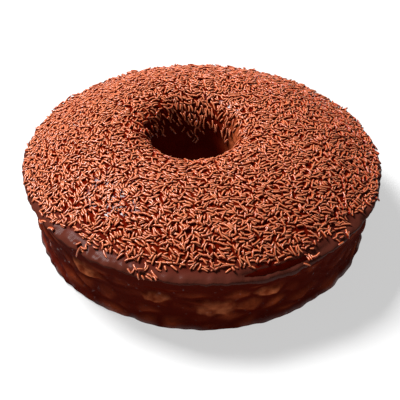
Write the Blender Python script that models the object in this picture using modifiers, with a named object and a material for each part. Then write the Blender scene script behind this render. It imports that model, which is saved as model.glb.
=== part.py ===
"""Chocolate ring cake: a tall ring of cake with a domed top and a moist, lumpy side, under a coat of chocolate icing
that runs over the dome, down into the hole and to a ragged lip round the side, covered in chocolate sprinkles."""

import math

import bmesh
import bpy
import numpy as np
from mathutils import Vector, noise
from mathutils.bvhtree import BVHTree

# Dome of the icing, seen in section: crest, fall to the shoulder, and the rounded lip that ends it
CREST_RADIUS = 0.0500
CREST_HEIGHT = 0.0727
DOME_DROP = 0.0237
DOME_POWER = 2.0
LIP_RADIUS = 0.1197
LIP_ROUNDING = 0.0012
LIP_CURL = math.radians(165)

# Hole: the icing's mouth, its throat and where it ends inside
THROAT_RADIUS = 0.0270
THROAT_HEIGHT = 0.0480
MOUTH_POWER = 3.1
HOLE_COAT_RADIUS = 0.0276
HOLE_COAT_HEIGHT = 0.0240
HOLE_COAT_WAVE = 0.0040
HOLE_COAT_EASE = 0.0100
HOLE_OFFSET = Vector((-0.0060, 0.0045, 0.0))
HOLE_HOLD_RADIUS = 0.038
HOLE_FADE_RADIUS = 0.095
FUNNEL = 0.0036
FUNNEL_HEIGHT = 0.94 * CREST_HEIGHT
FUNNEL_RADIUS = 0.72 * CREST_RADIUS

# Coat: thickness over the dome, inside the hole, and the air left between it and the cake
COAT = 0.0026
COAT_AT_LIP = 0.0018
COAT_IN_HOLE = 0.0016
GAP = 0.0003

# Cake: side wall, the shoulder hidden under the lip, foot and the hole's lower end
WALL_TOP_RADIUS = 0.1162
SHOULDER_IN = 0.0032
SHOULDER_DROP = 0.0034
WALL_FOOT_RADIUS = 0.1108
WALL_FOOT_HEIGHT = 0.0042
BASE_RADIUS = 0.1096
FOOT_ROUND = 0.35
HOLE_BASE_RADIUS = 0.0308
HOLE_BASE_ROUNDING = 0.0020

# Relief: pillowy lumps on the side, and sauce pooled round the foot
LUMP_HEIGHT = 0.0017
LUMP_WIDTH = 0.0175
LUMP_FLATNESS = 1.4
LUMP_CREASES = 1.9
LUMP_FADE_LOW = 0.0330
LUMP_FADE_HIGH = 0.0380
POOL_REACH = 0.0034
POOL_HEIGHT = 2.2 * WALL_FOOT_HEIGHT

# Bare places on the icing, and its soft unevenness under the sprinkles
BARE_BAND = 0.0050
BARE_FADE = 0.0040
SWELL = 0.0005
SWELL_WIDTH = 0.022
SWELL_EASE = 0.0100
PEBBLE = 0.0003

# Sprinkles fused to the icing: the largest ones, spread evenly where sprinkles lie
SPRINKLES = 162
SPRINKLE_RADIUS = 0.00105
SPRINKLE_SHORT = 0.0058
SPRINKLE_LONG = 0.0090
SPRINKLE_SIDES = 4
SPRINKLE_ROWS = ((0.0, 0.62), (0.5, 1.0), (1.0, 0.62))
SPRINKLE_LIFT = 0.00030
SPRINKLE_BEND = 0.15
SPRINKLE_FIELD = (0.0325, 0.1130)
GOLDEN_ANGLE = math.pi * (3.0 - math.sqrt(5.0))

# Lip: how far it sags, and the fold at the right of the front
SAG = 0.0011
SAG_REACH = 0.0065
FOLD_SAG = 0.0040
FOLD_START = math.radians(-78)
FOLD_END = math.radians(-50)
FOLD_EASE = math.radians(7)
FOLD_GROOVE = 0.0005
FOLD_GROOVE_AT = 0.0062
FOLD_GROOVE_WIDTH = 0.0022

# The whole leans a little, higher at the right of the back, and is a little out of round
LEAN = 0.0009
LEAN_ANGLE = math.radians(15)
LEAN_HEIGHT = 0.6 * CREST_HEIGHT
OUT_OF_ROUND = 0.0006

# Faceting: steps round the icing and the cake, and points along their sections
AROUND = 90
AROUND_CAKE = 80
MOUTH_ROWS = 9
DOME_ROWS = 8
UNDER_ROWS = 6
WALL_ROWS = 6
LIP_ROWS = 12
LIP_PICK = 4
DENSE = 60
NEAR_LIP = 3
SEED = 41


def smoothstep(low, high, value):
    """0 below low, 1 above high, easy in between."""
    t = min(max((value - low) / (high - low), 0.0), 1.0)
    return t * t * (3.0 - 2.0 * t)


def lengths(line):
    """Distance along a line at each of its points."""
    steps = np.hypot(*np.diff(line, axis=0).T)
    return np.concatenate([[0.0], np.cumsum(steps)])


def resample(line, count):
    """The line as count points, evenly spaced along it."""
    run = lengths(line)
    at = np.linspace(0.0, run[-1], count)
    return np.stack([np.interp(at, run, line[:, 0]), np.interp(at, run, line[:, 1])], axis=-1)


def shifted(line, distance):
    """The open line moved sideways by a distance, to the right of its run, with mitred corners."""
    steps = np.diff(line, axis=0)
    steps /= np.hypot(*steps.T)[:, None]
    sides = np.stack([steps[:, 1], -steps[:, 0]], axis=-1)
    first = np.concatenate([sides[:1], sides])
    last = np.concatenate([sides, sides[-1:]])
    mitre = (first + last) / (1.0 + (first * last).sum(axis=1))[:, None]
    return line + mitre * np.reshape(distance, (-1, 1))


def dome_line():
    """The icing's outside in section, from its end in the hole over the crest to where the lip starts to round."""
    line = [(HOLE_COAT_RADIUS, HOLE_COAT_HEIGHT)]
    for i in range(DENSE):
        turn = 0.5 * math.pi * i / DENSE
        across = math.cos(turn) ** (2.0 / MOUTH_POWER)
        up = math.sin(turn) ** (2.0 / MOUTH_POWER)
        radius = CREST_RADIUS - (CREST_RADIUS - THROAT_RADIUS) * across
        line.append((radius, THROAT_HEIGHT + (CREST_HEIGHT - THROAT_HEIGHT) * up))
    slope = math.atan(DOME_DROP * DOME_POWER / (LIP_RADIUS - CREST_RADIUS))
    dome_end = LIP_RADIUS - LIP_ROUNDING * (1.0 - math.sin(slope))
    for i in range(DENSE + 1):
        t = i / DENSE
        line.append((CREST_RADIUS + (dome_end - CREST_RADIUS) * t, CREST_HEIGHT - DOME_DROP * t**DOME_POWER))
    return np.array(line), slope


def lip_line(start, slope):
    """The lip's rounding in section, from the dome's end round to its underside."""
    centre = np.array(start) - LIP_ROUNDING * np.array([math.sin(slope), math.cos(slope)])
    turns = slope + (LIP_CURL - slope) * np.arange(1, LIP_ROWS + 1) / LIP_ROWS
    return centre + LIP_ROUNDING * np.stack([np.sin(turns), np.cos(turns)], axis=-1)


def sections():
    """Closed sections of the icing and of the cake, and how many of the icing's points are on its outside."""
    dome, slope = dome_line()
    lip = lip_line(dome[-1], slope)
    mouth_rows = resample(dome[:DENSE + 2], MOUTH_ROWS)[:-1]
    dome_rows = resample(dome[DENSE + 1:], DOME_ROWS)
    near_lip = dome[-1 - NEAR_LIP]
    outer = np.vstack([mouth_rows, dome_rows[:-1], near_lip, dome_rows[-1], lip[LIP_PICK - 1::LIP_PICK]])
    up = np.clip((dome[:, 1] - HOLE_COAT_HEIGHT) / (CREST_HEIGHT - HOLE_COAT_HEIGHT), 0.0, 1.0)
    out = np.clip((dome[:, 0] - CREST_RADIUS) / (LIP_RADIUS - CREST_RADIUS), 0.0, 1.0)
    thick = COAT_IN_HOLE + (COAT - COAT_IN_HOLE) * up
    thick += (COAT_AT_LIP - thick) * out
    under = shifted(dome, thick + GAP)
    cake_dome = resample(under[under[:, 0] < WALL_TOP_RADIUS - SHOULDER_IN], UNDER_ROWS)
    top = cake_dome[-1, 1] - SHOULDER_DROP
    taper = (WALL_TOP_RADIUS - WALL_FOOT_RADIUS) / (top - WALL_FOOT_HEIGHT)
    lip_end = lip[-1, 1]
    covered = np.array([(WALL_TOP_RADIUS, top), (WALL_TOP_RADIUS - taper * (top - lip_end), lip_end)])
    cake_cover = np.vstack([cake_dome, covered])
    icing = np.vstack([outer, shifted(cake_cover, -GAP)[::-1]])
    heights = np.linspace(lip_end, WALL_FOOT_HEIGHT, WALL_ROWS + 1)[1:]
    wall = np.stack([WALL_TOP_RADIUS - taper * (top - heights), heights], axis=-1)
    foot = [(BASE_RADIUS + FOOT_ROUND * POOL_REACH, FOOT_ROUND * WALL_FOOT_HEIGHT), (BASE_RADIUS, 0.0)]
    hole = [(HOLE_BASE_RADIUS + HOLE_BASE_ROUNDING, 0.0), (HOLE_BASE_RADIUS, HOLE_BASE_ROUNDING)]
    return icing, np.vstack([cake_cover, wall, foot, hole]), len(outer)


def turned(name, section, steps):
    """A solid of revolution from a closed section, as a mesh object with its screw applied."""
    count = len(section)
    mesh = bpy.data.meshes.new(name)
    edges = [(i, (i + 1) % count) for i in range(count)]
    mesh.from_pydata([(radius, 0.0, height) for radius, height in section[::-1]], edges, [])
    thing = bpy.data.objects.new(name, mesh)
    bpy.context.scene.collection.objects.link(thing)
    screw = thing.modifiers.new("turn", "SCREW")
    screw.angle = 2.0 * math.pi
    screw.steps = steps
    screw.render_steps = steps
    screw.use_merge_vertices = True
    screw.merge_threshold = 0.00001
    apply_modifiers(thing)
    return thing


def apply_modifiers(thing):
    """Replaces an object's mesh by what its modifiers make of it."""
    bpy.context.view_layer.update()
    result = bpy.data.meshes.new_from_object(thing.evaluated_get(bpy.context.evaluated_depsgraph_get()))
    thing.modifiers.clear()
    thing.data = result


def outward(line):
    """Outward directions, in section, at the points of the icing's outside."""
    along = np.gradient(line, axis=0)
    along /= np.hypot(*along.T)[:, None]
    return np.stack([-along[:, 1], along[:, 0]], axis=-1)


def sprinkled(radius, angle, to_lip):
    """How much of the icing sprinkles cover at a place, 0 to 1: none by the lip nor at the mouth's right side."""
    front = smoothstep(0.2, 1.0, -math.sin(angle))
    wave = noise.noise(Vector((4.0 * math.cos(angle), 4.0 * math.sin(angle), 3.0)))
    band = BARE_BAND * (1.0 + 0.25 * wave)
    cover = smoothstep(band, band + BARE_FADE * (1.0 + 1.5 * front), to_lip)
    bare = smoothstep(0.55, 0.9, math.cos(angle)) * (1.0 - smoothstep(0.030, 0.036, radius))
    return cover * (1.0 - bare)


def fold_here(angle):
    """1 where the icing folds over itself at the right of the front, 0 elsewhere."""
    begun = smoothstep(FOLD_START - FOLD_EASE, FOLD_START + FOLD_EASE, angle)
    return begun * (1.0 - smoothstep(FOLD_END - FOLD_EASE, FOLD_END + FOLD_EASE, angle))


def sag_at(angle):
    """How far the lip hangs below its mean height."""
    ring = Vector((math.cos(angle), math.sin(angle), 0.0))
    wave = noise.noise(ring * 3.0 + Vector((0.0, 0.0, 5.0))) + 0.8 * noise.noise(ring * 9.0 + Vector((0.0, 0.0, 9.0)))
    return SAG * wave + FOLD_SAG * fold_here(angle)


def settle(point):
    """The slight lean and unevenness of the whole, and the mouth's slope at the back, for the icing and the cake."""
    radius = math.hypot(point.x, point.y)
    angle = math.atan2(point.y, point.x)
    hold = 1.0 - smoothstep(HOLE_HOLD_RADIUS, HOLE_FADE_RADIUS, radius)
    grow = OUT_OF_ROUND * (0.6 * math.cos(2.0 * angle + 0.7) + math.cos(3.0 * angle - 1.1)) / LIP_RADIUS
    rise = LEAN * (math.cos(angle - LEAN_ANGLE) + 0.5 * math.cos(3.0 * angle + 1.9)) / LIP_RADIUS
    lifted = rise * radius * smoothstep(WALL_FOOT_HEIGHT, LEAN_HEIGHT, point.z)
    mouth = smoothstep(THROAT_HEIGHT, FUNNEL_HEIGHT, point.z) * (1.0 - smoothstep(FUNNEL_RADIUS, CREST_RADIUS, radius))
    grow += FUNNEL * mouth * max(math.sin(angle), 0.0) / radius
    return Vector((point.x * (1.0 + grow), point.y * (1.0 + grow), point.z + lifted)) + HOLE_OFFSET * hold


def place_of(vertex):
    """A vertex's radius, angle and the unit direction it lies in."""
    angle = math.atan2(vertex.co.y, vertex.co.x)
    return math.hypot(vertex.co.x, vertex.co.y), angle, Vector((math.cos(angle), math.sin(angle), 0.0))


def shape_icing(thing, section, outer_count):
    """Gives the coat its soft swells, its uneven lip, its fold and its wavy end in the hole."""
    out = outward(section[:outer_count])
    run = lengths(section[:outer_count])
    lip_low = section[outer_count - 1, 1]
    wall_slope = section[outer_count] - section[outer_count + 1]
    wall_slope /= np.hypot(*wall_slope)
    hole_slope = section[-2] - section[-1]
    hole_slope /= np.hypot(*hole_slope)
    draw = np.random.default_rng(SEED)
    for vertex in thing.data.vertices:
        radius, angle, ring = place_of(vertex)
        here = np.array([radius, vertex.co.z])
        index = int(np.argmin(np.hypot(*(section - here).T)))
        outside = index < outer_count
        move = np.zeros(2)
        if outside:
            to_lip = run[-1] - run[index]
            swell = SWELL * noise.noise(vertex.co / SWELL_WIDTH) * smoothstep(0.0, SWELL_EASE, to_lip)
            groove = fold_here(angle) * math.exp(-(((to_lip - FOLD_GROOVE_AT) / FOLD_GROOVE_WIDTH) ** 2))
            cover = sprinkled(radius, angle, to_lip)
            move += out[index] * (PEBBLE * draw.uniform(-1.0, 1.0) * cover + swell - FOLD_GROOVE * groove)
        if radius > CREST_RADIUS and (outside or index == outer_count):
            hang = 1.0 - smoothstep(0.0, SAG_REACH, here[1] - lip_low)
            move += wall_slope * sag_at(angle) * hang
        if radius < CREST_RADIUS and (outside or index == len(section) - 1):
            low = 1.0 - smoothstep(HOLE_COAT_HEIGHT, HOLE_COAT_HEIGHT + HOLE_COAT_EASE, here[1])
            move += hole_slope * low * HOLE_COAT_WAVE * noise.noise(ring * 2.5 + Vector((0.0, 0.0, 2.0)))
        vertex.co = settle(ring * (radius + move[0]) + Vector((0.0, 0.0, here[1] + move[1])))


def shape_cake(thing):
    """Gives the side its pillowy lumps and the foot its pool of sauce."""
    for vertex in thing.data.vertices:
        radius, _, ring = place_of(vertex)
        height = vertex.co.z
        if radius > WALL_FOOT_RADIUS - POOL_REACH and 0.0 < height < LUMP_FADE_HIGH:
            at = Vector((vertex.co.x, vertex.co.y, LUMP_FLATNESS * height)) / LUMP_WIDTH
            lump = LUMP_HEIGHT * (0.2 + noise.noise(at) - 0.5 * abs(noise.noise(at * LUMP_CREASES)))
            fade = 1.0 - smoothstep(LUMP_FADE_LOW, LUMP_FADE_HIGH, height)
            low = 1.0 - smoothstep(0.0, POOL_HEIGHT, height)
            spill = 0.5 + 0.5 * noise.noise(ring * 4.0) + 0.45 * noise.noise(ring * 15.0)
            radius += fade * (1.0 - low) * lump + low * POOL_REACH * max(spill, 0.0)
        vertex.co = settle(ring * radius + Vector((0.0, 0.0, height)))


def sprinkle(name, start, end, up, bend):
    """One slightly curved, blunt-ended rod lying between two points."""
    along = end - start
    side = along.cross(up).normalized()
    upright = side.cross(along).normalized()
    work = bmesh.new()
    rings = []
    for t, size in SPRINKLE_ROWS:
        centre = start + along * t + side * bend * along.length * (4.0 * t * (1.0 - t))
        turns = [2.0 * math.pi * k / SPRINKLE_SIDES for k in range(SPRINKLE_SIDES)]
        reach = SPRINKLE_RADIUS * size
        rings.append([work.verts.new(centre + (side * math.cos(a) + upright * math.sin(a)) * reach) for a in turns])
    for first, second in zip(rings, rings[1:]):
        for k in range(SPRINKLE_SIDES):
            after = (k + 1) % SPRINKLE_SIDES
            work.faces.new((first[k], second[k], second[after], first[after]))
    work.faces.new(rings[0])
    work.faces.new(rings[-1])
    bmesh.ops.recalc_face_normals(work, faces=work.faces)
    mesh = bpy.data.meshes.new(name)
    work.to_mesh(mesh)
    work.free()
    return bpy.data.objects.new(name, mesh)


def scatter(icing):
    """Sprinkles laid evenly on a golden-angle spiral over the icing, with seeded lengths, bends and headings."""
    tree = BVHTree.FromObject(icing, bpy.context.evaluated_depsgraph_get())
    draw = np.random.default_rng(SEED + 1)
    group = bpy.data.collections.new("sprinkles")
    bpy.context.scene.collection.children.link(group)
    inner, outer = SPRINKLE_FIELD[0] ** 2, SPRINKLE_FIELD[1] ** 2
    down = Vector((0.0, 0.0, -1.0))
    for k in range(SPRINKLES):
        radius = math.sqrt(inner + (outer - inner) * (k + 0.5) / SPRINKLES)
        angle = k * GOLDEN_ANGLE
        length = draw.uniform(SPRINKLE_SHORT, SPRINKLE_LONG)
        heading = draw.uniform(0.0, math.pi)
        bend = draw.uniform(-SPRINKLE_BEND, SPRINKLE_BEND)
        if sprinkled(radius, angle, LIP_RADIUS - radius) < 0.5:
            continue
        hold = 1.0 - smoothstep(HOLE_HOLD_RADIUS, HOLE_FADE_RADIUS, radius)
        centre = Vector((radius * math.cos(angle), radius * math.sin(angle), 2.0 * CREST_HEIGHT)) + HOLE_OFFSET * hold
        half = Vector((math.cos(heading), math.sin(heading), 0.0)) * 0.5 * length
        normal = tree.ray_cast(centre, down)[1]
        lift = normal * SPRINKLE_LIFT
        start, end = (tree.ray_cast(centre + side * half, down)[0] + lift for side in (-1.0, 1.0))
        group.objects.link(sprinkle(f"sprinkle_{k:03d}", start, end, normal, bend))
    return group


def fuse(thing, group):
    """Joins a collection of closed pieces to an object by one union, then removes them."""
    union = thing.modifiers.new("fuse", "BOOLEAN")
    union.operation = "UNION"
    union.operand_type = "COLLECTION"
    union.collection = group
    union.solver = "EXACT"
    apply_modifiers(thing)
    for piece in list(group.objects):
        bpy.data.objects.remove(piece, do_unlink=True)
    bpy.data.collections.remove(group)


def material(name, colour, roughness, coat):
    """A plain glossy material."""
    made = bpy.data.materials.new(name)
    made.use_nodes = True
    shader = made.node_tree.nodes["Principled BSDF"]
    shader.inputs["Base Color"].default_value = (*colour, 1.0)
    shader.inputs["Roughness"].default_value = roughness
    shader.inputs["Coat Weight"].default_value = coat
    return made


def face_outwards(mesh):
    """Makes a closed mesh's faces point outwards and shades them smooth."""
    work = bmesh.new()
    work.from_mesh(mesh)
    bmesh.ops.recalc_face_normals(work, faces=work.faces)
    if work.calc_volume(signed=True) < 0.0:
        bmesh.ops.reverse_faces(work, faces=work.faces)
    for face in work.faces:
        face.smooth = True
    work.to_mesh(mesh)
    work.free()


def finish(thing, skin, home):
    """Puts an object in the cake's collection with its material."""
    face_outwards(thing.data)
    thing.data.materials.clear()
    thing.data.materials.append(skin)
    bpy.context.scene.collection.objects.unlink(thing)
    home.objects.link(thing)


def main():
    for thing in list(bpy.data.objects):
        bpy.data.objects.remove(thing, do_unlink=True)
    home = bpy.data.collections.new("ring_cake")
    bpy.context.scene.collection.children.link(home)
    icing_section, cake_section, outer_count = sections()

    cake = turned("cake", cake_section, AROUND_CAKE)
    shape_cake(cake)
    finish(cake, material("moist_chocolate_cake", (0.045, 0.012, 0.006), 0.25, 0.6), home)

    icing = turned("icing", icing_section, AROUND)
    shape_icing(icing, icing_section, outer_count)
    face_outwards(icing.data)
    fuse(icing, scatter(icing))
    finish(icing, material("chocolate_icing", (0.16, 0.055, 0.028), 0.42, 0.2), home)


main()
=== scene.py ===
"""Chocolate ring cake: dark moist cake wet with sauce, a coat of chocolate icing with a ragged lip, and
thousands of chocolate sprinkles, on a plain pale floor."""

import math

import bmesh
import bpy
import numpy as np
from mathutils import Matrix, Vector, noise


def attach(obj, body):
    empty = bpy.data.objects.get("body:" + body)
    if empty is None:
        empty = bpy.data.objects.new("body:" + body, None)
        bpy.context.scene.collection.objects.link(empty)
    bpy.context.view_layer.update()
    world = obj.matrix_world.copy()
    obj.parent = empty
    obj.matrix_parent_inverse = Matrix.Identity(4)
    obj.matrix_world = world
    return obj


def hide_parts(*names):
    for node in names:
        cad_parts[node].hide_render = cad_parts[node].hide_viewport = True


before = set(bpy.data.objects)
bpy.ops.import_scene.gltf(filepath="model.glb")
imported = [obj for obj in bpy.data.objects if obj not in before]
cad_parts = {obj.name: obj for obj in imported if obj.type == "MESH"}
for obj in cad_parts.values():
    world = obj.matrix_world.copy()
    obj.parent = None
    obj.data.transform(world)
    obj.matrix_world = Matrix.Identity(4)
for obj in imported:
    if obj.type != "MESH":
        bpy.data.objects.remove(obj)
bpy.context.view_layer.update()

# Camera: height above the horizon, roll, distance, the point that it looks at, lens, sensor, and what it sees
VIEW_ELEVATION = math.radians(39.1)
VIEW_ROLL = math.radians(1.35)
VIEW_DISTANCE = 0.665
VIEW_TARGET = Vector((-0.0004, 0.0, 0.0129))
VIEW_LENS = 85.86
VIEW_SENSOR = 36.0
VIEW_NEAREST = 0.05
VIEW_FARTHEST = 20.0

# Lights: direction, distance, width and power of each, the point that they shine on, and the white room
KEY_LIGHT = ((-0.50, 0.27, 0.82), 1.5, 0.5, 78.0)
FILL_LIGHT = ((0.1, -0.9, 0.45), 1.6, 1.4, 2.6)
LIT_POINT = Vector((0.0, 0.0, 0.03))
ROOM_LIGHT = 0.11
WHITE = (1.0, 1.0, 1.0, 1.0)

# Floor: how far it reaches each way, its grey, and its own glow
FLOOR_REACH = 4.0
FLOOR_GREY = (0.22, 0.22, 0.22, 1.0)
FLOOR_GLOW = 0.55

# Dome of the icing, seen in section: crest, fall to the shoulder, and the rounded lip that ends it
CREST_RADIUS = 0.0500
CREST_HEIGHT = 0.0727
DOME_DROP = 0.0237
DOME_POWER = 2.0
LIP_RADIUS = 0.1197
LIP_ROUNDING = 0.0012
LIP_CURL = math.radians(165)

# Hole: the icing's mouth, its throat, and where it ends inside in a wavy line
THROAT_RADIUS = 0.0270
THROAT_HEIGHT = 0.0480
MOUTH_POWER = 3.1
HOLE_COAT_RADIUS = 0.0276
HOLE_COAT_HEIGHT = 0.0240
HOLE_COAT_WAVE = 0.0040
HOLE_COAT_WAVES = (2.5, 2.0)
HOLE_COAT_EASE = 0.0100

# Hole: how far it lies off the middle, and the slope that opens its mouth at the back
HOLE_OFFSET = Vector((-0.0060, 0.0045, 0.0))
HOLE_HOLD_RADIUS = 0.038
HOLE_FADE_RADIUS = 0.095
FUNNEL = 0.0036
FUNNEL_HEIGHT = 0.94 * CREST_HEIGHT
FUNNEL_RADIUS = 0.72 * CREST_RADIUS

# Coat: thickness over the dome and in the hole, the air under it, and its depth below the sprinkles' tops
COAT = 0.0026
COAT_AT_LIP = 0.0018
COAT_IN_HOLE = 0.0016
GAP = 0.0003
SPRINKLE_BED = 0.0017
SPRINKLE_BED_EASE = (0.0035, 0.011)

# Cake: side wall, the shoulder hidden under the lip, foot and the hole's lower end
WALL_TOP_RADIUS = 0.1162
SHOULDER_IN = 0.0032
SHOULDER_DROP = 0.0034
WALL_FOOT_RADIUS = 0.1108
WALL_FOOT_HEIGHT = 0.0042
BASE_RADIUS = 0.1096
FOOT_ROUND = 0.35
HOLE_BASE_RADIUS = 0.0308
HOLE_BASE_ROUNDING = 0.0020

# Relief of the side: lumps, the creases in them, and crumb
LUMP_HEIGHT = 0.0017
LUMP_WIDTH = 0.0175
LUMP_FLATNESS = 1.4
LUMP_MEAN = 0.2
LUMP_CREASES = 1.9
LUMP_CREASE_DEPTH = 0.5
LUMP_FADE_LOW = 0.0330
LUMP_FADE_HIGH = 0.0380
CRUMB_HEIGHT = 0.0004
CRUMB_WAVES = 5.5

# Relief of the side: soft pillows over the lumps, bent a little, with a rounded edge
PILLOW_WIDTH = 0.0200
PILLOW_HEIGHT = 0.0017
PILLOW_FLATNESS = 1.7
PILLOW_BEND = 0.004
PILLOW_BEND_WAVES = 60.0
PILLOW_EDGE = 0.75

# Sauce pooled round the foot: its reach and height, how unevenly it spreads, and where it shines
POOL_REACH = 0.0034
POOL_HEIGHT = 2.2 * WALL_FOOT_HEIGHT
POOL_MEAN = 0.5
POOL_SWAY = 0.5
POOL_SWAY_WAVES = 4.0
POOL_RIPPLE = 0.45
POOL_RIPPLE_WAVES = 15.0
POOL_SHINE = (0.3 * WALL_FOOT_HEIGHT, 1.4 * WALL_FOOT_HEIGHT)

# Pale caramel-brown places on the side: angle round it, height, and reach
WARM_PLACES = ((-128.0, 0.030, 0.010), (-103.0, 0.027, 0.008), (-84.0, 0.021, 0.012), (-69.0, 0.030, 0.007),
               (40.0, 0.020, 0.008), (100.0, 0.026, 0.008), (160.0, 0.018, 0.009))

# Those places: how far they stand out, how flat and ragged they are, how they fade, and how much paleness
# they keep in the creases, which are painted darker as shade
WARM_HEIGHT = 0.0012
WARM_FLATNESS = 1.8
WARM_RAGGED = 0.35
WARM_RAGGED_WAVES = 230.0
WARM_FADE = (0.55, 1.25)
WARM_LEFT_IN_SHADED_CREASES = 0.5

# Where sprinkles lie: a band by the lip that stays bare, wider at the front, with a few strays on it
BARE_BAND = 0.0096
BARE_BAND_BACK = 0.0044
BARE_BAND_SWAY = 0.45
BARE_BAND_WAVES = (5.0, 3.0)
BARE_FADE = 0.0014
STRAYS = 0.22
STRAY_EDGE = 0.0020
STRAY_WAVES = 13.0
STRAY_LAYER = Vector((4.0, 0.0, 0.0))
STRAY_SPAN = (0.15, 0.35)

# Where sprinkles lie: a sparser front, turned a little to the right, and bare spots there
FRONT_SPAN = (0.35, 0.80)
FRONT_TURN = 0.12
FRONT_DEPTH = 0.030
FRONT_FADE = (0.6 * FRONT_DEPTH, 1.3 * FRONT_DEPTH)
FRONT_THIN = 0.10
SPOT_WAVES = (75.0, 8.0)
SPOT_RIPPLE = 0.4
SPOT_RIPPLE_WAVES = 190.0
SPOT_SPAN = (0.26, 0.44)
SPOT_BARE = 0.8

# Where sprinkles lie in the hole: clumps that hang to uneven depths, lower at the left, and one long tongue
HOLE_CLUMPS = 0.0120
HOLE_CLUMP_WAVES = 7.0
HOLE_LEFT = 0.0060
HOLE_SPRINKLES_LOW = 0.0470
HOLE_SPRINKLES_HIGH = 0.0700
HOLE_TONGUE = 0.0130
HOLE_TONGUE_AT = math.radians(88)
HOLE_TONGUE_WIDTH = math.radians(13)

# The mouth's right side, where the icing lies bare and is painted paler as painted light: where that starts,
# its turn, reach and height
BARE_RIGHT_SPAN = (0.25, 0.90)
BARE_RIGHT_TURN = 0.3
BARE_RIGHT_REACH = (0.0285, 0.0320)
BARE_RIGHT_PAINTED_LIGHT_HEIGHTS = (0.030, 0.055)

# Relief of the icing: soft swells over the dome, and ripples, grain and small drips by the lip
SWELL = 0.0005
SWELL_WIDTH = 0.022
SWELL_EASE = 0.0100
EDGE_RIPPLE = 0.0010
EDGE_RIPPLE_WAVES = 160.0
EDGE_GRAIN = 0.0003
EDGE_GRAIN_WAVES = 420.0
EDGE_EASE = (0.004, 0.012)
LIP_DRIPS = 0.0010
LIP_DRIP_WAVES = 62.0

# Where the icing between the sprinkles shines: at the left of the front, and at the mouth's back right
SHINE_LEFT = Vector((-0.047, -0.060, 0.0))
SHINE_MOUTH = Vector((0.020, 0.034, 0.0))
SHINE_REACH = 0.026
SHINE_FADE = (0.6 * SHINE_REACH, SHINE_REACH)

# Satin of the bare edge: how wide it is, and how strong from the left to the right
EDGE_FADE = (0.5 * BARE_BAND, 2.2 * BARE_BAND)
SATIN_LEFT = 0.035
SATIN_RIGHT = 0.20
SATIN_SPAN = (-0.3, 0.5)

# Lip: how far it sags, in long, short and small waves and in drips
SAG = 0.0011
SAG_REACH = 0.0065
SAG_LONG_WAVES = (3.0, 5.0)
SAG_SHORT = 0.8
SAG_SHORT_WAVES = (9.0, 9.0)
SAG_SMALL = 0.9
SAG_SMALL_WAVES = 22.0
SAG_DRIPS = 1.1
SAG_DRIP_WAVES = 40.0

# Lip: the fold at the right of the front, and the groove above it
FOLD_SAG = 0.0040
FOLD_START = math.radians(-78)
FOLD_END = math.radians(-50)
FOLD_EASE = math.radians(7)
FOLD_GROOVE = 0.0018
FOLD_GROOVE_AT = 0.0058
FOLD_GROOVE_WIDTH = 0.0014

# The whole leans a little, higher at the right of the back, in one wave round it and a weaker threefold one
LEAN = 0.0009
LEAN_ANGLE = math.radians(15)
LEAN_HEIGHT = 0.6 * CREST_HEIGHT
LEAN_THREEFOLD = 0.5
LEAN_THREEFOLD_TURN = 1.9

# The whole is a little out of round, by a twofold wave and a threefold one
OUT_OF_ROUND = 0.0006
OVAL = 0.6
OVAL_TURN = 0.7
THREEFOLD_TURN = 1.1

# Fineness of the coat and of the cake
COAT_AROUND = 540
DOME_ROWS = 104
LIP_ROWS = 14
CAKE_AROUND = 480
CAKE_DOME_ROWS = 10
WALL_ROWS = 58
HOLE_ROWS = 12
DENSE = 90

# Sprinkles: size of one, its sides, and how thick it is at places along it
SPRINKLE_LENGTH = 0.0049
SPRINKLE_RADIUS = 0.00068
SPRINKLE_SIDES = 6
SPRINKLE_RINGS = ((-0.46, 0.66), (-0.34, 1.0), (0.0, 1.04), (0.34, 1.0), (0.46, 0.66))

# Sprinkles: shapes, with length against the usual one, bend to the side, lift of one end, share of the whole
SHAPES = (
    ("sprinkles_straight", 0.92, 0.05, 0.01, 0.22),
    ("sprinkles_bent", 1.02, 0.24, 0.02, 0.24),
    ("sprinkles_curled", 1.12, 0.40, 0.01, 0.16),
    ("sprinkles_long", 1.32, -0.15, -0.02, 0.18),
    ("sprinkles_short", 0.70, -0.08, 0.02, 0.20),
)
STRETCH = (0.85, 1.18)
THICKNESS = (0.90, 1.10)

# Layers of sprinkles, from the icing up: tries, least distance to neighbours and to layers below, lift, tilt
LAYERS = (
    (120000, 0.00121, 0.0, 0.0003, 0.05),
    (90000, 0.00125, 0.00056, 0.0009, 0.12),
    (4000, 0.00420, 0.00040, 0.0015, 0.18),
)

# Packing: headings tried for each, spread where sparse, how near a place may be, and worth of each heading
HEADINGS = 12
THIN_SPREAD = 1.6
TOO_NEAR = 0.9
FIRST_HEADING = 2.0
LATER_HEADING = 0.001

# Packing: marks along a sprinkle that are kept clear of others, and the grid that finds those nearby
SPOTS_ALONG = (-0.42, -0.14, 0.14, 0.42)
CELL = 0.0042
MOST_DOTS = 80000

# Steepness, as the upward part of the surface's direction, below which sprinkles hang down, and their swing
STEEP = 0.62
STEEP_SWING = 0.55
STEEP_SHIFT = 0.2

# Chance that a place on the coat is tried, from the least cover that counts, and the seeds of the draws
LEAST_COVER = 0.02
LEAST_CHANCE = 0.3
COVER_CHANCE = 0.7
SCATTER_SEED = 7
TURN_SEED = 8

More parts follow.
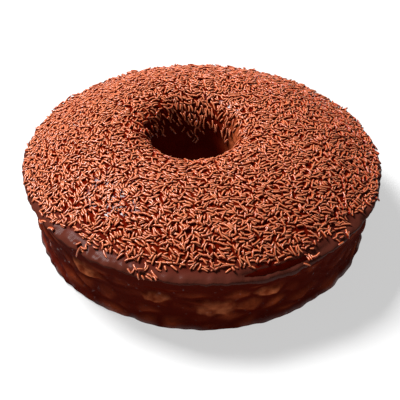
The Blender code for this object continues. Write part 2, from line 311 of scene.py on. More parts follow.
# Colours, as linear red, green and blue, and for a range of tones the place of each in it
SPRINKLE_TONES = ((0.0, (0.150, 0.014, 0.002)), (0.35, (0.242, 0.035, 0.006)),
                  (0.8, (0.298, 0.057, 0.013)), (1.0, (0.360, 0.086, 0.025)))
SPRINKLE_MOTTLE = (0.29, 0.051, 0.011)
# The next two colours are a painted highlight along the top of each sprinkle and painted shade on its
# underside
SPRINKLE_PAINTED_HIGHLIGHT = (0.48, 0.188, 0.104)
SPRINKLE_PAINTED_SHADE = (0.160, 0.0036, 0.0003)
ICING_TONES = ((0.3, (0.050, 0.0012, 0.0002)), (0.7, (0.080, 0.0044, 0.0010)))
# Bare edge of the icing, greyer and paler: a painted sheen of the white room
ICING_EDGE_PAINTED_SHEEN = (0.052, 0.0120, 0.0075)
# Painted light on the mouth's bare right side: paler icing where the lamp falls
ICING_PAINTED_LIGHT = ((0.35, (0.085, 0.012, 0.0035)), (0.65, (0.235, 0.052, 0.018)))
# Cake: painted shade darkens the creases and painted light brightens the pillow tops
CAKE_CREASE_SHADE_TONES = ((0.05, (0.052, 0.0034, 0.0010)), (0.90, (0.150, 0.0230, 0.0075)))
# Warm caramel colour in random patches, laid only on the pillow tops as painted light
CAKE_WARM_ON_LIT_TOPS = (0.300, 0.058, 0.015)
CAKE_MOTTLE = (0.045, 0.0034, 0.0010)
CAKE_PALE = ((0.35, (0.150, 0.022, 0.006)), (0.65, (0.460, 0.125, 0.048)))


def smoothstep(low, high, value):
    """0 below low, 1 above high, easy in between."""
    t = min(max((value - low) / (high - low), 0.0), 1.0)
    return t * t * (3.0 - 2.0 * t)


def waves(place, fineness, layer=0.0):
    """Smooth waves over a place, about -1 to 1; each layer has its own."""
    return noise.noise(place * fineness + Vector((0.0, 0.0, layer)))


def ring_at(angle):
    """The level direction at an angle round the hole's axis."""
    return Vector((math.cos(angle), math.sin(angle), 0.0))


def lengths(line):
    """Distance along a line at each of its points."""
    steps = np.hypot(*np.diff(line, axis=0).T)
    return np.concatenate([[0.0], np.cumsum(steps)])


def resample(line, count):
    """The line as count points, evenly spaced along it."""
    run = lengths(line)
    at = np.linspace(0.0, run[-1], count)
    return np.stack([np.interp(at, run, line[:, 0]), np.interp(at, run, line[:, 1])], axis=-1)


def shifted(line, distance):
    """The open line moved sideways by a distance, to the right of its run, with mitred corners."""
    steps = np.diff(line, axis=0)
    steps /= np.hypot(*steps.T)[:, None]
    sides = np.stack([steps[:, 1], -steps[:, 0]], axis=-1)
    first = np.concatenate([sides[:1], sides])
    last = np.concatenate([sides, sides[-1:]])
    mitre = (first + last) / (1.0 + (first * last).sum(axis=1))[:, None]
    return line + mitre * np.reshape(distance, (-1, 1))


def outward(line):
    """Outward directions, in section, at the points of a line that runs from the hole to the lip."""
    along = np.gradient(line, axis=0)
    along /= np.hypot(*along.T)[:, None]
    return np.stack([-along[:, 1], along[:, 0]], axis=-1)


def dome_line():
    """The icing's outside in section, from its end in the hole to the lip, and how steep it is there."""
    line = [(HOLE_COAT_RADIUS, HOLE_COAT_HEIGHT)]
    for i in range(DENSE):
        turn = 0.5 * math.pi * i / DENSE
        across = math.cos(turn) ** (2.0 / MOUTH_POWER)
        up = math.sin(turn) ** (2.0 / MOUTH_POWER)
        radius = CREST_RADIUS - (CREST_RADIUS - THROAT_RADIUS) * across
        line.append((radius, THROAT_HEIGHT + (CREST_HEIGHT - THROAT_HEIGHT) * up))
    slope = math.atan(DOME_DROP * DOME_POWER / (LIP_RADIUS - CREST_RADIUS))
    dome_end = LIP_RADIUS - LIP_ROUNDING * (1.0 - math.sin(slope))
    for i in range(DENSE + 1):
        t = i / DENSE
        line.append((CREST_RADIUS + (dome_end - CREST_RADIUS) * t, CREST_HEIGHT - DOME_DROP * t**DOME_POWER))
    return np.array(line), slope


def lip_line(start, slope):
    """The lip's rounding in section, from the dome's end round to its underside."""
    centre = np.array(start) - LIP_ROUNDING * np.array([math.sin(slope), math.cos(slope)])
    turns = slope + (LIP_CURL - slope) * np.arange(1, LIP_ROWS + 1) / LIP_ROWS
    return centre + LIP_ROUNDING * np.stack([np.sin(turns), np.cos(turns)], axis=-1)


def sections():
    """Closed sections of the icing and of the cake, and how many of the icing's points are on its outside."""
    dome, slope = dome_line()
    lip = lip_line(dome[-1], slope)
    outer = np.vstack([resample(dome, DOME_ROWS), lip])
    up = np.clip((dome[:, 1] - HOLE_COAT_HEIGHT) / (CREST_HEIGHT - HOLE_COAT_HEIGHT), 0.0, 1.0)
    out = np.clip((dome[:, 0] - CREST_RADIUS) / (LIP_RADIUS - CREST_RADIUS), 0.0, 1.0)
    thick = COAT_IN_HOLE + (COAT - COAT_IN_HOLE) * up
    thick += (COAT_AT_LIP - thick) * out
    under = shifted(dome, thick + GAP)
    cake_dome = resample(under[under[:, 0] < WALL_TOP_RADIUS - SHOULDER_IN], CAKE_DOME_ROWS)
    top = cake_dome[-1, 1] - SHOULDER_DROP
    taper = (WALL_TOP_RADIUS - WALL_FOOT_RADIUS) / (top - WALL_FOOT_HEIGHT)
    lip_end = lip[-1, 1]
    covered = np.array([(WALL_TOP_RADIUS, top), (WALL_TOP_RADIUS - taper * (top - lip_end), lip_end)])
    cake_cover = np.vstack([cake_dome, covered])
    icing = np.vstack([outer, shifted(cake_cover, -GAP)[::-1]])
    heights = np.linspace(lip_end, WALL_FOOT_HEIGHT, WALL_ROWS + 1)[1:]
    wall = np.stack([WALL_TOP_RADIUS - taper * (top - heights), heights], axis=-1)
    foot = [(BASE_RADIUS + FOOT_ROUND * POOL_REACH, FOOT_ROUND * WALL_FOOT_HEIGHT), (BASE_RADIUS, 0.0)]
    hole = [(HOLE_BASE_RADIUS + HOLE_BASE_ROUNDING, 0.0), (HOLE_BASE_RADIUS, HOLE_BASE_ROUNDING)]
    bore = resample(np.array([hole[-1], tuple(cake_cover[0])]), HOLE_ROWS)[1:-1]
    return icing, np.vstack([cake_cover, wall, foot, hole, bore]), len(outer)


def fold_here(angle):
    """1 where the icing folds over itself at the right of the front, 0 elsewhere."""
    begun = smoothstep(FOLD_START - FOLD_EASE, FOLD_START + FOLD_EASE, angle)
    return begun * (1.0 - smoothstep(FOLD_END - FOLD_EASE, FOLD_END + FOLD_EASE, angle))


def sag_at(angle):
    """How far the lip hangs below its mean height: long waves, short ones, and small drips."""
    ring = ring_at(angle)
    wave = waves(ring, *SAG_LONG_WAVES) + SAG_SHORT * waves(ring, *SAG_SHORT_WAVES)
    small = SAG_SMALL * waves(ring, SAG_SMALL_WAVES) + SAG_DRIPS * max(waves(ring, SAG_DRIP_WAVES), 0.0)
    return SAG * (wave + small) + FOLD_SAG * fold_here(angle)


def settle(point):
    """Where a point of the icing or the cake goes as the whole leans, and as the mouth slopes at the back."""
    radius = math.hypot(point.x, point.y)
    angle = math.atan2(point.y, point.x)
    hold = 1.0 - smoothstep(HOLE_HOLD_RADIUS, HOLE_FADE_RADIUS, radius)
    uneven = OVAL * math.cos(2.0 * angle + OVAL_TURN) + math.cos(3.0 * angle - THREEFOLD_TURN)
    grow = OUT_OF_ROUND * uneven / LIP_RADIUS
    lean = math.cos(angle - LEAN_ANGLE) + LEAN_THREEFOLD * math.cos(3.0 * angle + LEAN_THREEFOLD_TURN)
    rise = LEAN * lean / LIP_RADIUS
    lifted = rise * radius * smoothstep(WALL_FOOT_HEIGHT, LEAN_HEIGHT, point.z)
    mouth = smoothstep(THROAT_HEIGHT, FUNNEL_HEIGHT, point.z)
    mouth *= 1.0 - smoothstep(FUNNEL_RADIUS, CREST_RADIUS, radius)
    grow += FUNNEL * mouth * max(math.sin(angle), 0.0) / radius
    moved = Vector((point.x * (1.0 + grow), point.y * (1.0 + grow), point.z + lifted))
    return moved + HOLE_OFFSET * hold


def bare_right(ring, radius):
    """1 on the mouth's right side, where the icing lies bare, 0 elsewhere."""
    right = smoothstep(*BARE_RIGHT_SPAN, ring.x - BARE_RIGHT_TURN * ring.y)
    return right * (1.0 - smoothstep(*BARE_RIGHT_REACH, radius))


def sprinkled(radius, height, angle, to_lip):
    """How closely sprinkles lie at a place on the icing, from 0, where it is bare, to 1."""
    ring = ring_at(angle)
    front = smoothstep(*FRONT_SPAN, -ring.y + FRONT_TURN * ring.x)
    wide = BARE_BAND_BACK + (BARE_BAND - BARE_BAND_BACK) * front
    band = wide * (1.0 + BARE_BAND_SWAY * waves(ring, *BARE_BAND_WAVES))
    cover = smoothstep(band, band + BARE_FADE * (1.0 + front), to_lip)
    if to_lip > STRAY_EDGE:
        stray = noise.noise(ring * STRAY_WAVES + STRAY_LAYER)
        cover = max(cover, STRAYS * smoothstep(*STRAY_SPAN, stray))
    near_front = front * (1.0 - smoothstep(*FRONT_FADE, to_lip))
    place = ring * radius
    spots = waves(place, *SPOT_WAVES) + SPOT_RIPPLE * waves(place, SPOT_RIPPLE_WAVES)
    spots = smoothstep(*SPOT_SPAN, spots) * near_front
    level = height + HOLE_CLUMPS * waves(ring, HOLE_CLUMP_WAVES) - HOLE_LEFT * max(-ring.x, 0.0)
    level += HOLE_TONGUE * math.exp(-(((angle - HOLE_TONGUE_AT) / HOLE_TONGUE_WIDTH) ** 2))
    hung = smoothstep(HOLE_SPRINKLES_LOW, HOLE_SPRINKLES_HIGH, level)
    deep = 0.0 if radius > CREST_RADIUS else 1.0 - hung**2
    thinned = cover * (1.0 - FRONT_THIN * near_front) * (1.0 - SPOT_BARE * spots)
    return thinned * (1.0 - bare_right(ring, radius)) * (1.0 - deep)


def put(name, data):
    """A new object in the scene, with its data."""
    thing = bpy.data.objects.new(name, data)
    bpy.context.scene.collection.objects.link(thing)
    return thing


def keep(mesh, **values):
    """Keeps one number for each vertex of a mesh, under each name."""
    for name, numbers in values.items():
        mesh.attributes.new(name, "FLOAT", "POINT").data.foreach_set("value", numbers)


def tube_mesh(name, section, around):
    """A closed section carried round the hole's axis, as an object whose mesh is of quads."""
    rows = len(section)
    steps = np.arange(around)
    angles = 2.0 * math.pi * steps / around
    points = np.empty((around, rows, 3))
    points[:, :, 0] = section[None, :, 0] * np.cos(angles)[:, None]
    points[:, :, 1] = section[None, :, 0] * np.sin(angles)[:, None]
    points[:, :, 2] = section[None, :, 1]
    first = np.arange(around * rows).reshape(around, rows)
    second = np.roll(first, -1, axis=0)
    faces = np.stack([first, second, np.roll(second, -1, axis=1), np.roll(first, -1, axis=1)], axis=-1)
    mesh = bpy.data.meshes.new(name)
    mesh.from_pydata(points.reshape(-1, 3).tolist(), [], faces.reshape(-1, 4).tolist())
    return put(name, mesh)


def face_outwards(mesh):
    """Makes a closed mesh's faces point outwards and shades it smooth."""
    work = bmesh.new()
    work.from_mesh(mesh)
    bmesh.ops.recalc_face_normals(work, faces=work.faces)
    if work.calc_volume(signed=True) < 0.0:
        bmesh.ops.reverse_faces(work, faces=work.faces)
    for face in work.faces:
        face.smooth = True
    work.to_mesh(mesh)
    work.free()


def make_coat(section, outer_count):
    """The coat of icing, with its lip, drips, fold and swells, and how closely sprinkles lie on it."""
    coat = tube_mesh("icing_coat", section, COAT_AROUND)
    rows = len(section)
    out = outward(section[:outer_count])
    run = lengths(section[:outer_count])
    lip_low = section[outer_count - 1, 1]
    wall_slope = section[outer_count] - section[outer_count + 1]
    wall_slope /= np.hypot(*wall_slope)
    hole_slope = section[-2] - section[-1]
    hole_slope /= np.hypot(*hole_slope)
    cover, gloss, edge, warm, satin = np.zeros((5, len(coat.data.vertices)))
    for number, vertex in enumerate(coat.data.vertices):
        step, index = divmod(number, rows)
        angle = math.remainder(2.0 * math.pi * step / COAT_AROUND, 2.0 * math.pi)
        ring = ring_at(angle)
        radius, height = section[index]
        outside = index < outer_count
        move = np.zeros(2)
        left = 1.0 - smoothstep(*SHINE_FADE, (ring * radius - SHINE_LEFT).length)
        mouth = 1.0 - smoothstep(*SHINE_FADE, (ring * radius - SHINE_MOUTH).length)
        gloss[number] = max(left, mouth * smoothstep(HOLE_SPRINKLES_LOW, HOLE_SPRINKLES_HIGH, height))
        if outside:
            to_lip = run[-1] - run[index]
            cover[number] = sprinkled(radius, height, angle, to_lip)
            # warm here is painted light: paler icing where the lamp falls on the mouth's bare right side
            warm[number] = bare_right(ring, radius) * smoothstep(*BARE_RIGHT_PAINTED_LIGHT_HEIGHTS, height)
            # edge marks the bare band by the lip: it carries the painted sheen in the icing's colour, and the
            # real satin coat
            edge[number] = 1.0 - smoothstep(*EDGE_FADE, to_lip)
            sheen = SATIN_LEFT + (SATIN_RIGHT - SATIN_LEFT) * smoothstep(*SATIN_SPAN, ring.x)
            satin[number] = edge[number] * sheen
            swell = SWELL * noise.noise(vertex.co / SWELL_WIDTH) * smoothstep(0.0, SWELL_EASE, to_lip)
            grain = EDGE_RIPPLE * waves(vertex.co, EDGE_RIPPLE_WAVES)
            grain += EDGE_GRAIN * waves(vertex.co, EDGE_GRAIN_WAVES)
            swell += grain * (1.0 - smoothstep(*EDGE_EASE, to_lip))
            groove = fold_here(angle) * math.exp(-(((to_lip - FOLD_GROOVE_AT) / FOLD_GROOVE_WIDTH) ** 2))
            bed = SPRINKLE_BED * smoothstep(*SPRINKLE_BED_EASE, to_lip)
            move += out[index] * (swell - FOLD_GROOVE * groove - bed)
        if radius > CREST_RADIUS and (outside or index == outer_count):
            hang = 1.0 - smoothstep(0.0, SAG_REACH, height - lip_low)
            drips = LIP_DRIPS * max(waves(ring, LIP_DRIP_WAVES), 0.0)
            move += wall_slope * (sag_at(angle) + drips) * hang
        if radius < CREST_RADIUS and (outside or index == rows - 1):
            low = 1.0 - smoothstep(HOLE_COAT_HEIGHT, HOLE_COAT_HEIGHT + HOLE_COAT_EASE, height)
            move += hole_slope * low * HOLE_COAT_WAVE * waves(ring, *HOLE_COAT_WAVES)
        vertex.co = settle(ring * (radius + move[0]) + Vector((0.0, 0.0, height + move[1])))
    keep(coat.data, cover=cover, gloss=gloss, edge=edge, warm=warm, satin=satin)
    face_outwards(coat.data)
    return coat


def pillow_at(place):
    """Height of the soft, rounded pillows that the wet side is made of, 0 in the creases to 1 on top."""
    bent = place + Vector((0.0, 0.0, PILLOW_BEND * waves(place, PILLOW_BEND_WAVES)))
    near = noise.voronoi(bent / PILLOW_WIDTH, distance_metric="DISTANCE")[0]
    return smoothstep(0.0, PILLOW_EDGE, near[1] - near[0])


def warm_at(angle, height):
    """How far a place on the side lies within one of the pale places, 0 to 1."""
    most = 0.0
    for degrees, centre, reach in WARM_PLACES:
        across = WALL_FOOT_RADIUS * math.remainder(angle - math.radians(degrees), 2.0 * math.pi)
        off = math.hypot(across / reach, WARM_FLATNESS * (height - centre) / reach)
        ragged = WARM_RAGGED * waves(Vector((across, height, degrees)), WARM_RAGGED_WAVES)
        most = max(most, 1.0 - smoothstep(*WARM_FADE, off + ragged))
    return most


def make_cake(section):
    """The cake's body, with pillowy lumps and crumb on its side and sauce pooled round its foot."""
    body = tube_mesh("cake_body", section, CAKE_AROUND)
    rows = len(section)
    pillows, warm, foot = np.zeros((3, len(body.data.vertices)))
    for number, vertex in enumerate(body.data.vertices):
        step, index = divmod(number, rows)
        angle = 2.0 * math.pi * step / CAKE_AROUND
        ring = ring_at(angle)
        radius, height = section[index]
        if radius > WALL_FOOT_RADIUS - POOL_REACH and 0.0 < height < LUMP_FADE_HIGH:
            at = Vector((vertex.co.x, vertex.co.y, LUMP_FLATNESS * height)) / LUMP_WIDTH
            creases = LUMP_CREASE_DEPTH * abs(noise.noise(at * LUMP_CREASES))
            lump = LUMP_HEIGHT * (LUMP_MEAN + noise.noise(at) - creases)
            lump -= CRUMB_HEIGHT * abs(noise.noise(at * CRUMB_WAVES))
            pillow = pillow_at(Vector((vertex.co.x, vertex.co.y, PILLOW_FLATNESS * height)))
            # pillow is kept for the finish, which paints shade in the creases and light on the tops
            pillows[number] = pillow
            pale = warm_at(angle, height)
            # The pale places keep less of their colour in the creases: painted shade
            warm[number] = pale * (WARM_LEFT_IN_SHADED_CREASES + (1.0 - WARM_LEFT_IN_SHADED_CREASES) * pillow)
            foot[number] = 1.0 - smoothstep(*POOL_SHINE, height)
            lump += PILLOW_HEIGHT * (pillow - 0.5) + WARM_HEIGHT * pale
            fade = 1.0 - smoothstep(LUMP_FADE_LOW, LUMP_FADE_HIGH, height)
            low = 1.0 - smoothstep(0.0, POOL_HEIGHT, height)
            spill = POOL_MEAN + POOL_SWAY * waves(ring, POOL_SWAY_WAVES)
            spill += POOL_RIPPLE * waves(ring, POOL_RIPPLE_WAVES)
            radius += fade * (1.0 - low) * lump + low * POOL_REACH * max(spill, 0.0)
        vertex.co = settle(ring * radius + Vector((0.0, 0.0, height)))
    keep(body.data, pillow=pillows, warm=warm, foot=foot)
    face_outwards(body.data)
    return body


def sprinkle_shape(name, length, bend, twist):
    """One sprinkle: a rod with rounded ends, bent to one side and a little upwards at one end."""
    work = bmesh.new()
    # top records how far each vertex faces up; the finish uses it to paint a highlight on top and shade
    # underneath
    top = work.verts.layers.float.new("top")

    def middle(t):
        return Vector((t * length, bend * length * (1.0 - 4.0 * t * t) * 0.5, twist * length * t * abs(t)))

    rings = []
    for t, size in SPRINKLE_RINGS:
        centre = middle(t)
        turns = [2.0 * math.pi * (k + 0.5) / SPRINKLE_SIDES for k in range(SPRINKLE_SIDES)]
        size *= SPRINKLE_RADIUS
        ring = [work.verts.new(centre + Vector((0.0, math.cos(a), math.sin(a))) * size) for a in turns]
        for vertex, a in zip(ring, turns):
            vertex[top] = 0.5 + 0.5 * math.sin(a)
        rings.append(ring)
    for first, second in zip(rings, rings[1:]):
        for k in range(SPRINKLE_SIDES):
            after = (k + 1) % SPRINKLE_SIDES
            work.faces.new((first[k], second[k], second[after], first[after]))
    for ring, end in ((rings[0], -0.5), (rings[-1], 0.5)):
        tip = work.verts.new(middle(end))
        tip[top] = 0.5
        for k in range(SPRINKLE_SIDES):
            work.faces.new((ring[k], ring[(k + 1) % SPRINKLE_SIDES], tip))
    bmesh.ops.recalc_face_normals(work, faces=work.faces)
    for face in work.faces:
        face.smooth = True
    mesh = bpy.data.meshes.new(name)
    work.to_mesh(mesh)
    work.free()
    return put(name, mesh)


def sprinkle_tree(name):
    """Node tree that sets one shape of sprinkle on each of its places, turned and sized as the place says."""
    tree = bpy.data.node_groups.new(name, "GeometryNodeTree")
    face = tree.interface
    face.new_socket("Places", in_out="INPUT", socket_type="NodeSocketGeometry")
    sockets = {}
    kinds = {"Length": "Float", "Thickness": "Float", "Sprinkle": "Object", "Finish": "Material"}
    for label, kind in kinds.items():
        socket = face.new_socket(label, in_out="INPUT", socket_type=f"NodeSocket{kind}")
        sockets[label] = socket.identifier
    face.new_socket("Sprinkles", in_out="OUTPUT", socket_type="NodeSocketGeometry")
    nodes, links = tree.nodes, tree.links

    def read(label):
        made = nodes.new("GeometryNodeInputNamedAttribute")
        made.data_type = "FLOAT_VECTOR"
        made.inputs["Name"].default_value = label
        return made.outputs["Attribute"]

    given = nodes.new("NodeGroupInput")
    measure = nodes.new("ShaderNodeCombineXYZ")
    links.new(given.outputs["Length"], measure.inputs["X"])
    links.new(given.outputs["Thickness"], measure.inputs["Y"])
    links.new(given.outputs["Thickness"], measure.inputs["Z"])
    size = nodes.new("ShaderNodeVectorMath")
    size.operation = "MULTIPLY"
    links.new(measure.outputs["Vector"], size.inputs[0])
    links.new(read("size"), size.inputs[1])
    turn = nodes.new("FunctionNodeEulerToRotation")
    links.new(read("turn"), turn.inputs[0])
    rod = nodes.new("GeometryNodeObjectInfo")
    links.new(given.outputs["Sprinkle"], rod.inputs["Object"])
    placed = nodes.new("GeometryNodeInstanceOnPoints")
    links.new(given.outputs["Places"], placed.inputs["Points"])
    links.new(rod.outputs["Geometry"], placed.inputs["Instance"])
    links.new(turn.outputs[0], placed.inputs["Rotation"])
    links.new(size.outputs[0], placed.inputs["Scale"])
    real = nodes.new("GeometryNodeRealizeInstances")
    links.new(placed.outputs["Instances"], real.inputs["Geometry"])
    skin = nodes.new("GeometryNodeSetMaterial")
    links.new(real.outputs["Geometry"], skin.inputs["Geometry"])
    links.new(given.outputs["Finish"], skin.inputs["Material"])
    links.new(skin.outputs["Geometry"], nodes.new("NodeGroupOutput").inputs["Sprinkles"])
    return tree, sockets


def spots_on(coat, count, draw):
    """Random places on the coat, each with its outward direction and how closely sprinkles lie there."""
    mesh = coat.data
    mesh.calc_loop_triangles()
    corners = np.empty(len(mesh.loop_triangles) * 3, dtype=np.int32)
    mesh.loop_triangles.foreach_get("vertices", corners)
    corners = corners.reshape(-1, 3)
    where = np.empty(len(mesh.vertices) * 3)
    mesh.vertices.foreach_get("co", where)
    where = where.reshape(-1, 3)
    cover = np.empty(len(mesh.vertices))
    mesh.attributes["cover"].data.foreach_get("value", cover)
    first, second, third = (where[corners[:, k]] for k in range(3))
    normals = np.cross(second - first, third - first)
    areas = np.linalg.norm(normals, axis=1)
    normals /= np.maximum(areas, 1e-12)[:, None]
    dense = cover[corners].mean(axis=1)
    chance = areas * (dense > LEAST_COVER) * (LEAST_CHANCE + COVER_CHANCE * dense)
    chosen = draw.choice(len(corners), size=count, p=chance / chance.sum())
    u, v = draw.random(count), draw.random(count)
    flip = u + v > 1.0
    u[flip], v[flip] = 1.0 - u[flip], 1.0 - v[flip]
    spots = first[chosen] + (second - first)[chosen] * u[:, None] + (third - first)[chosen] * v[:, None]
    return spots, normals[chosen], dense[chosen]


def lie_on(normal):
    """Two directions in the surface: level, and downhill."""
    level = np.cross(normal, (0.0, 0.0, -1.0))
    size = np.linalg.norm(level)
    level = level / size if size > 1e-4 else np.array((1.0, 0.0, 0.0))
    return level, np.cross(level, normal)


class Laid:
    """Dots along the sprinkles that already lie, kept by cell of a grid, so that near ones are found fast."""

    def __init__(self):
        self.dots = np.empty((MOST_DOTS, 3))
        self.count = 0
        self.cells = {}

    def add(self, dots):
        for dot, key in zip(dots, np.floor(dots / CELL).astype(int).tolist()):
            self.dots[self.count] = dot
            self.cells.setdefault(tuple(key), []).append(self.count)
            self.count += 1

    def near(self, spot):
        x, y, z = np.floor(spot / CELL).astype(int).tolist()
        found = []
        for i in (x - 1, x, x + 1):
            for j in (y - 1, y, y + 1):
                for k in (z - 1, z, z + 1):
                    found.extend(self.cells.get((i, j, k), ()))
        return self.dots[found]


def lay_out(coat):
    """Where each sprinkle lies: tried at random, and turned the way that fits best between its neighbours."""
    draw = np.random.default_rng(SCATTER_SEED)
    along = np.array(SPOTS_ALONG)
    curve = 0.5 * (1.0 - 4.0 * along**2)
    below, places = Laid(), []
    for tries, apart, apart_below, lift, tilt in LAYERS:
        here = Laid()
        spots, normals, dense = spots_on(coat, tries, draw)
        kinds = draw.choice(len(SHAPES), size=tries, p=[shape[4] for shape in SHAPES])
        stretch = draw.uniform(*STRETCH, tries)
        phases = draw.random(tries)
        for spot, normal, cover, kind, longer, phase in zip(spots, normals, dense, kinds, stretch, phases):
            tests = []
            for laid, least in ((here, apart * (1.0 + THIN_SPREAD * (1.0 - cover))), (below, apart_below)):
                near = laid.near(spot)
                if len(near) and least > 0.0:
                    tests.append((near, least))
            if any(((near - spot) ** 2).sum(axis=1).min() < (TOO_NEAR * least) ** 2 for near, least in tests):
                continue
            level, downhill = lie_on(normal)
            if normal[2] > STEEP:
                turns = 2.0 * math.pi * (np.arange(HEADINGS) + phase) / HEADINGS
            else:
                swing = np.arange(HEADINGS) / (0.5 * HEADINGS) - 1.0 + STEEP_SHIFT * phase
                turns = 0.5 * math.pi + STEEP_SWING * swing
            _, length, bend, _, _ = SHAPES[kind]
            length *= SPRINKLE_LENGTH * longer
            x, y = along * length, curve * bend * length
            cos, sin = np.cos(turns)[:, None], np.sin(turns)[:, None]
            dots = spot + (x * cos - y * sin)[..., None] * level + (x * sin + y * cos)[..., None] * downhill
            clear = np.full(HEADINGS, FIRST_HEADING - LATER_HEADING * np.arange(HEADINGS))
            for near, least in tests:
                gaps = ((dots[:, :, None, :] - near) ** 2).sum(axis=-1).min(axis=(1, 2))
                clear = np.minimum(clear, gaps / least**2)
            best = int(np.argmax(clear))
            if clear[best] < 1.0:
                continue
            here.add(dots[best])
            places.append((kind, spot + normal * lift, normal, level, downhill, turns[best], longer, tilt))
        below.add(here.dots[:here.count])
    return places


def lay_sprinkles(coat, finish):
    """The sprinkles, one piece for each shape, each place's rod made a plain mesh by the node tree."""
    tree, sockets = sprinkle_tree("set_sprinkles")
    draw = np.random.default_rng(TURN_SEED)
    places = lay_out(coat)
    pieces = []
    for number, (name, length, bend, twist, _) in enumerate(SHAPES):
        rod = sprinkle_shape(f"{name}_one", length * SPRINKLE_LENGTH, bend, twist)
        own = [place for place in places if place[0] == number]
        spots = bpy.data.meshes.new(name)
        spots.from_pydata([place[1].tolist() for place in own], [], [])
        turns, sizes = [], []
        for _, _, normal, level, downhill, heading, longer, tilt in own:
            lean = normal * draw.uniform(-tilt, tilt)
            ahead = level * math.cos(heading) + downhill * math.sin(heading) + lean
            ahead /= np.linalg.norm(ahead)
            side = np.cross(normal, ahead)
            side /= np.linalg.norm(side)
            axes = Matrix((Vector(ahead), Vector(side), Vector(np.cross(ahead, side)))).transposed()
            turns.extend(axes.to_euler())
            sizes.extend((longer, *([draw.uniform(*THICKNESS)] * 2)))
        spots.attributes.new("turn", "FLOAT_VECTOR", "POINT").data.foreach_set("vector", turns)
        spots.attributes.new("size", "FLOAT_VECTOR", "POINT").data.foreach_set("vector", sizes)
        keep(spots, tone=draw.random(len(own)))
        bed = put("bed", spots)
        lay = bed.modifiers.new("set", "NODES")
        lay.node_group = tree
        for label, value in (("Length", 1.0), ("Thickness", 1.0), ("Sprinkle", rod), ("Finish", finish)):
            lay[sockets[label]] = value
        bpy.context.view_layer.update()
        made = bpy.data.meshes.new_from_object(bed.evaluated_get(bpy.context.evaluated_depsgraph_get()))
        bpy.data.objects.remove(bed, do_unlink=True)
        bpy.data.objects.remove(rod, do_unlink=True)
        made.name = name
        pieces.append(put(name, made))
    return pieces


class Finish:
    """A material under construction, with short calls for its nodes."""

    def __init__(self, name):
        self.material = bpy.data.materials.new(name)
        self.material.use_nodes = True
        self.nodes = self.material.node_tree.nodes
        self.links = self.material.node_tree.links
        self.shader = self.nodes["Principled BSDF"]
        self.place = self.nodes.new("ShaderNodeTexCoord").outputs["Object"]

    def set(self, **values):
        for label, value in values.items():
            self.shader.inputs[label.replace("_", " ")].default_value = value

    def give(self, label, value):
        self.links.new(value, self.shader.inputs[label])

    def noise(self, scale, detail=3.0, roughness=0.5, distortion=0.0):
        made = self.nodes.new("ShaderNodeTexNoise")
        made.inputs["Scale"].default_value = scale
        made.inputs["Detail"].default_value = detail
        made.inputs["Roughness"].default_value = roughness
        made.inputs["Distortion"].default_value = distortion
        self.links.new(self.place, made.inputs["Vector"])
        return made.outputs["Fac"]

    def kept(self, name):
        made = self.nodes.new("ShaderNodeAttribute")
        made.attribute_name = name
        return made.outputs["Fac"]

    def ramp(self, value, stops):
        made = self.nodes.new("ShaderNodeValToRGB")
        for number, (at, colour) in enumerate(stops):
            stop = made.color_ramp.elements[number] if number < 2 else made.color_ramp.elements.new(at)
            stop.position = at
            stop.color = (*colour, 1.0)
        self.links.new(value, made.inputs["Fac"])
        return made.outputs["Color"]

    def fit(self, value, start, end):
        made = self.nodes.new("ShaderNodeMapRange")
        for label, number in zip(("From Min", "From Max", "To Min", "To Max"), (*start, *end)):
            made.inputs[label].default_value = number
        self.links.new(value, made.inputs["Value"])
        return made.outputs["Result"]

    def mix(self, amount, first, second):
        made = self.nodes.new("ShaderNodeMix")
        made.data_type = "RGBA"
        self.links.new(amount, made.inputs["Factor"])
        for socket, value in ((made.inputs[6], first), (made.inputs[7], second)):
            if isinstance(value, tuple):
                socket.default_value = (*value, 1.0)
            else:
                self.links.new(value, socket)
        return made.outputs[2]

    def join(self, operation, first, second):
        made = self.nodes.new("ShaderNodeMath")
        made.operation = operation
        self.links.new(first, made.inputs[0])
        self.links.new(second, made.inputs[1])
        return made.outputs[0]

    def bump(self, height, strength, distance, below=None):
        made = self.nodes.new("ShaderNodeBump")
        made.inputs["Strength"].default_value = strength
        made.inputs["Distance"].default_value = distance
        self.links.new(height, made.inputs["Height"])
        if below is not None:
            self.links.new(below, made.inputs["Normal"])
        return made.outputs["Normal"]


def sprinkle_finish():
    """Milk chocolate sprinkles: brown, each its own tone, with painted shade in deep red-brown underneath and
    a painted highlight along the top, satin.
    """
    finish = Finish("sprinkle_chocolate")
    tones = finish.ramp(finish.kept("tone"), SPRINKLE_TONES)
    mottle = finish.fit(finish.noise(scale=700.0, detail=2.0), start=(0.35, 0.65), end=(0.0, 0.6))
    body = finish.mix(mottle, tones, SPRINKLE_MOTTLE)
    top = finish.kept("top")
    # Painted highlight along the top ridge, then painted shade on the underside below it
    painted_highlight = finish.mix(finish.fit(top, start=(0.84, 1.0), end=(0.0, 0.85)), body, SPRINKLE_PAINTED_HIGHLIGHT)
    lit = finish.fit(top, start=(0.56, 0.90), end=(0.0, 1.0))
    finish.give("Base Color", finish.mix(lit, SPRINKLE_PAINTED_SHADE, painted_highlight))
    finish.set(Roughness=0.23, Specular_IOR_Level=0.18)
    grain = finish.noise(scale=2600.0, detail=2.0)
    finish.give("Normal", finish.bump(grain, strength=0.25, distance=0.00012))
    return finish.material


